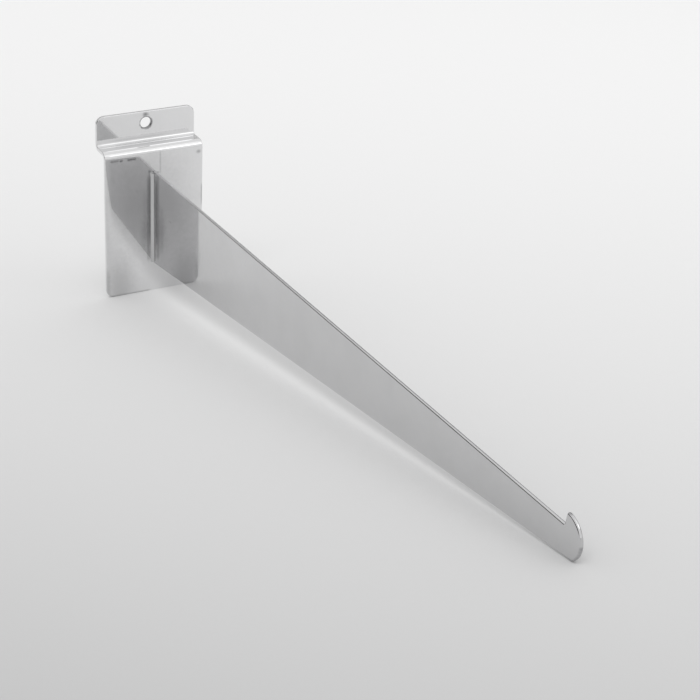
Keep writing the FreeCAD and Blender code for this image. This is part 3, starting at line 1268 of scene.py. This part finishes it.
@dataclass(frozen=True)
class WeldBead:
    """A weld bead down one side of the arm's root.

    Args:
        side: The side of the arm that it is on.
        arm_gauge: Thickness of the arm.
        plate_gauge: Thickness of the backplate.
        top: Height of the bead's upper end.
        foot: Height of its lower end.
        leg: Its leg, on the plate and on the arm.
        hollow: Radius of its hollow face.
        pitch: Distance from one ripple to the next.
        ripple: How far a ripple swells the section, as a share of it.
        jitter: How far the ripples are shifted at random, in radians.
        lump: Length of the random unevenness.
        uneven: How far that swells the section, as a share of it.
        fill: The section's mean size, as a share of the full one.
        swell: How much thicker the bead starts, at its upper end.
        swell_reach: How far down that goes.
        end_round: How far the ends are rounded.
        end_flat: The least of the rounding's square, so that the ends stay open.
        face_steps: Faces across the hollow face.
        rings: Sections along the bead.
        merge: Distance within which two vertices are one.
        seed: Start of the random unevenness, to which the side adds its sign.
    """

    side: Hand
    arm_gauge: float = 1.6 * MM
    plate_gauge: float = 2.0 * MM
    top: float = -10.4 * MM
    foot: float = -57.4 * MM
    leg: float = 1.35 * MM
    hollow: float = 2.5 * MM
    pitch: float = 0.8 * MM
    ripple: float = 0.018
    jitter: float = 3.0
    lump: float = 2.0 * MM
    uneven: float = 0.12
    fill: float = 0.97
    swell: float = 0.22
    swell_reach: float = 1.1 * MM
    end_round: float = 0.5 * MM
    end_flat: float = 0.02
    face_steps: int = 12
    rings: int = 240
    merge: float = 0.0001 * MM
    seed: float = 3.0

    def section(self) -> bpy.types.Mesh:
        """The bead's section as a closed line: the buried corner and the hollow face.

        Returns:
            A mesh of edges in the XY plane, with the corner at its origin, its depth along X and its width along Y.
        """
        stand_off = math.sqrt(self.hollow**2 - self.leg**2 / 2) / math.sqrt(2)
        centre = -(self.leg / 2 + stand_off)
        lead = math.atan2(-self.leg - centre, -centre)
        points = [(0.0, 0.0, 0.0)]
        for step in range(self.face_steps + 1):
            angle = lead + (QUARTER - 2 * lead) * step / self.face_steps
            across = centre + self.hollow * math.cos(angle)
            points.append((centre + self.hollow * math.sin(angle), self.side.value * across, 0.0))
        mesh = bpy.data.meshes.new("bead_section")
        edges = [(number, (number + 1) % len(points)) for number in range(len(points))]
        mesh.from_pydata(points, edges, [])
        return mesh

    def form_tree(self) -> FormTree:
        """The rule that draws the bead: its section follows the joint and swells with each ripple.

        Returns:
            The geometry node tree.
        """
        tree = FormTree("WeldRun")
        names = ("Corner X", "Corner Y", "Top", "Foot", "Pitch", "Ripple", "Start Swell", "Seed")
        across, depth, top, foot, pitch, ripple, swell, seed = (tree.size(name) for name in names)
        ends = {"Start": tree.vector(across, depth, foot), "End": tree.vector(across, depth, top)}
        line = tree.node("GeometryNodeCurvePrimitiveLine", {"mode": "POINTS"}, ends)
        feeds = {"Curve": line, "Count": self.rings}
        path = tree.node("GeometryNodeResampleCurve", {"mode": "COUNT"}, feeds)
        length = top - foot
        run = tree.node("GeometryNodeSplineParameter", None, None, "Factor") * length
        left = length - run
        feeds = {"Vector": tree.vector(run * (1.0 / self.lump), seed, 0.0), "Scale": 1.0, "Detail": 1.0}
        noise = tree.node("ShaderNodeTexNoise", {"noise_dimensions": "2D", "normalize": True}, feeds)
        wave = (run / pitch * (2 * math.pi) + noise * self.jitter).math("SINE") * ripple
        blob = (-left * left / self.swell_reach**2).math("EXPONENT") * swell
        close = 1.0 - (run.math("MINIMUM", left) / self.end_round).math("MINIMUM", 1.0)
        rounded = (1.0 - close * close).math("MAXIMUM", self.end_flat).math("SQRT")
        scale = (wave + blob + (noise - 0.5) * self.uneven + self.fill) * rounded
        feeds = {"Curve": path, "Normal": (0.0, 1.0, 0.0)}
        upright = tree.node("GeometryNodeSetCurveNormal", {"mode": "FREE"}, feeds)
        section = tree.node("GeometryNodeMeshToCurve", None, {"Mesh": tree.entry("Geometry")})
        feeds = {"Curve": upright, "Profile Curve": section, "Scale": scale, "Fill Caps": True}
        bead = tree.node("GeometryNodeCurveToMesh", None, feeds)
        smooth = tree.node("GeometryNodeSetShadeSmooth", None, {"Geometry": bead, "Shade Smooth": True})
        tree.close(smooth)
        return tree

    def finish(self) -> Chrome:
        """The duller plating over the bead.

        Returns:
            The finish.
        """
        return Chrome(
            "weld_chrome_finish",
            tint=(0.56, 0.56, 0.565),
            shade=(0.50, 0.50, 0.505),
            roughness=0.14,
            sag=0.004 * MM,
            spread=2.0 * MM,
        )

    def build(self) -> bpy.types.Object:
        """Builds the bead, dresses it and shows it.

        Returns:
            The piece.
        """
        hand = self.side.name.lower()
        sizes = {
            "Corner X": self.side.value * self.arm_gauge / 2,
            "Corner Y": -self.plate_gauge,
            "Top": self.top,
            "Foot": self.foot,
            "Pitch": self.pitch,
            "Ripple": self.ripple,
            "Start Swell": self.swell,
            "Seed": self.seed + self.side.value,
        }
        mesh = self.form_tree().bake(self.section(), "bead_" + hand, sizes, self.finish().make())
        form = bmesh.new()
        form.from_mesh(mesh)
        bmesh.ops.remove_doubles(form, verts=form.verts, dist=self.merge)
        bmesh.ops.recalc_face_normals(form, faces=form.faces)
        form.to_mesh(mesh)
        form.free()
        return show(mesh, "bead_" + hand, "weld_chrome", "weld_" + hand)


@dataclass(frozen=True)
class Studio:
    """The pale sweep that the hook lies on, its cards and lamps, and the camera.

    Args:
        slope: Slope of the sweep under the hook, which stands on the plate's foot and on its chin.
        contact: A point of the sweep.
        left: Left side of the sweep.
        right: Its right side.
        front: Its front edge.
        back: Its back edge.
        aim: The point that the lamps are turned to.
        ambient: Strength of the light all round.
        seen_extra: How much stronger it is where the camera or the metal sees it.
        lens: The camera's focal length, in millimetres.
        film: Width of its picture, in millimetres.
        place: Where the camera stands.
        azimuth: The way it looks from, in degrees to the right of the front.
        elevation: How far it looks down, in degrees.
        roll: How far it is turned, in degrees.
    """

    slope: float = math.radians(9.23)
    contact: Point3 = (0.0, -1.0 * MM, -72.72 * MM)
    left: float = -3.0
    right: float = 4.0
    front: float = -1.6
    back: float = 5.0
    aim: Point3 = (0.0, -0.15, -0.05)
    ambient: float = 0.78
    seen_extra: float = 0.08
    lens: float = 91.54
    film: float = 36.0
    place: Point3 = (-310.662 * MM, -730.357 * MM, 313.040 * MM)
    azimuth: float = -30.1692
    elevation: float = 27.7353
    roll: float = 3.1890

    def build(self) -> None:
        """Builds the sweep, the cards, the lamps, the surroundings and the camera."""
        self._sweep()
        self._cards()
        self._lamps()
        self._surroundings()
        self._camera()

    @staticmethod
    def _sheet(name: str, corners: Sequence[Point3], material: bpy.types.Material) -> bpy.types.Object:
        """A flat sheet that isn't part of the hook.

        Args:
            name: The sheet's name.
            corners: Its corners, in order.
            material: Its finish.

        Returns:
            The sheet.
        """
        mesh = bpy.data.meshes.new(name)
        mesh.from_pydata(corners, [], [list(range(len(corners)))])
        mesh.materials.append(material)
        sheet = bpy.data.objects.new(name, mesh)
        bpy.context.scene.collection.objects.link(sheet)
        return sheet

    def _sweep(self) -> None:
        """Lays the pale paper under the hook."""
        fall = math.tan(self.slope)
        outline = ((self.left, self.front), (self.right, self.front), (self.right, self.back), (self.left, self.back))
        corners = [(x, y, self.contact[2] - fall * (y - self.contact[1])) for x, y in outline]
        self._sheet("sweep", corners, SweepPaper().make())

    def _cards(self) -> None:
        """Stands dark cards at the sides and two lighter ones behind, where only reflections show them."""
        dark = CardStock().make()
        pale = CardStock("grey_card", 0.64).make()
        slate = CardStock("slate_card", 0.15).make()
        # Each card: the ends of its foot as X and Y, its lower and its upper edge, and its stock
        cards = {
            "left_card": ((-1.5, -1.3), (-1.5, 1.0), 0.0, 1.05, dark),
            "back_left_card": ((-1.5, 1.0), (-0.9, 1.45), -0.3, 1.25, slate),
            "right_card": ((1.6, -0.8), (1.6, 0.6), -0.3, 0.4, dark),
            "back_right_card": ((1.6, 0.6), (0.75, 1.07), -0.3, 0.55, dark),
            "back_card": ((-1.6, 2.4), (2.4, 2.0), -0.6, 1.7, pale),
        }
        for name, (start, end, low, high, stock) in cards.items():
            card = self._sheet(name, [(*start, low), (*end, low), (*end, high), (*start, high)], stock)
            card.visible_camera = False
            card.visible_diffuse = False
            card.visible_shadow = False

    def _lamps(self) -> None:
        """Hangs a softbox in its glow right of the camera, and to its left a wide lamp that lights the paper."""
        self._lamp("softbox", (0.617, -0.915, 0.862), (0.36, 0.36), 0.6)
        self._lamp("softbox_glow", (0.534, -0.684, 1.034), (0.75, 0.75), 0.25)
        fill = self._lamp("fill", (-1.6, -1.6, 4.7), (3.5, 3.5), 2.2)
        fill.visible_glossy = False

    def _lamp(self, name: str, place: Point3, size: Point2, brightness: float) -> bpy.types.Object:
        """Hangs one soft lamp, turned towards the hook.

        Args:
            name: The lamp's name.
            place: Where it hangs.
            size: Its width and height.
            brightness: Its brightness, of which 1 is white.

        Returns:
            The lamp.
        """
        lamp = bpy.data.lights.new(name, "AREA")
        lamp.shape = "RECTANGLE"
        lamp.size, lamp.size_y = size
        lamp.energy = brightness * math.pi * lamp.size * lamp.size_y
        holder = bpy.data.objects.new(name, lamp)
        holder.location = place
        aim = Vector(self.aim) - Vector(place)
        holder.rotation_euler = aim.to_track_quat("-Z", "Y").to_euler()
        holder.visible_camera = False
        bpy.context.scene.collection.objects.link(holder)
        return holder

    def _surroundings(self) -> None:
        """Fills the room with plain white light, a little stronger where the camera or the metal sees it."""
        world = bpy.data.worlds.new("room")
        world.use_nodes = True
        bpy.context.scene.world = world
        board = Board(world.node_tree)
        path = board.node("ShaderNodeLightPath", None, None, "Is Camera Ray")
        seen = path.math("MAXIMUM", path.also("Is Glossy Ray")).math("MAXIMUM", path.also("Is Transmission Ray"))
        feeds = {"Color": grey(1.0), "Strength": seen * self.seen_extra + self.ambient}
        background = board.node("ShaderNodeBackground", None, feeds)
        board.node("ShaderNodeOutputWorld", None, {"Surface": background})

    def _camera(self) -> None:
        """Places the camera at the photograph's viewpoint."""
        turn, tilt, roll = (math.radians(value) for value in (self.azimuth, self.elevation, self.roll))
        back = Vector((math.sin(turn) * math.cos(tilt), -math.cos(turn) * math.cos(tilt), math.sin(tilt)))
        right = Vector((0.0, 0.0, 1.0)).cross(back).normalized()
        up = back.cross(right)
        rolled_right = right * math.cos(roll) + up * math.sin(roll)
        rolled_up = up * math.cos(roll) - right * math.sin(roll)
        axes = Matrix((rolled_right, rolled_up, back)).transposed()
        camera = bpy.data.cameras.new("camera")
        camera.lens = self.lens
        camera.sensor_width = self.film
        holder = bpy.data.objects.new("camera", camera)
        holder.matrix_world = Matrix.Translation(self.place) @ axes.to_4x4()
        bpy.context.scene.collection.objects.link(holder)
        bpy.context.scene.camera = holder


def main() -> None:
    """Builds the hook and the studio round it."""
    logging.basicConfig(level=logging.INFO, format="%(name)s: %(message)s")
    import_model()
    bpy.context.scene.view_settings.view_transform = "Standard"
    Backplate().build()
    Arm().build()
    for side in Hand:
        WeldBead(side).build()
    Studio().build()


if __name__ == "__main__":
    main()
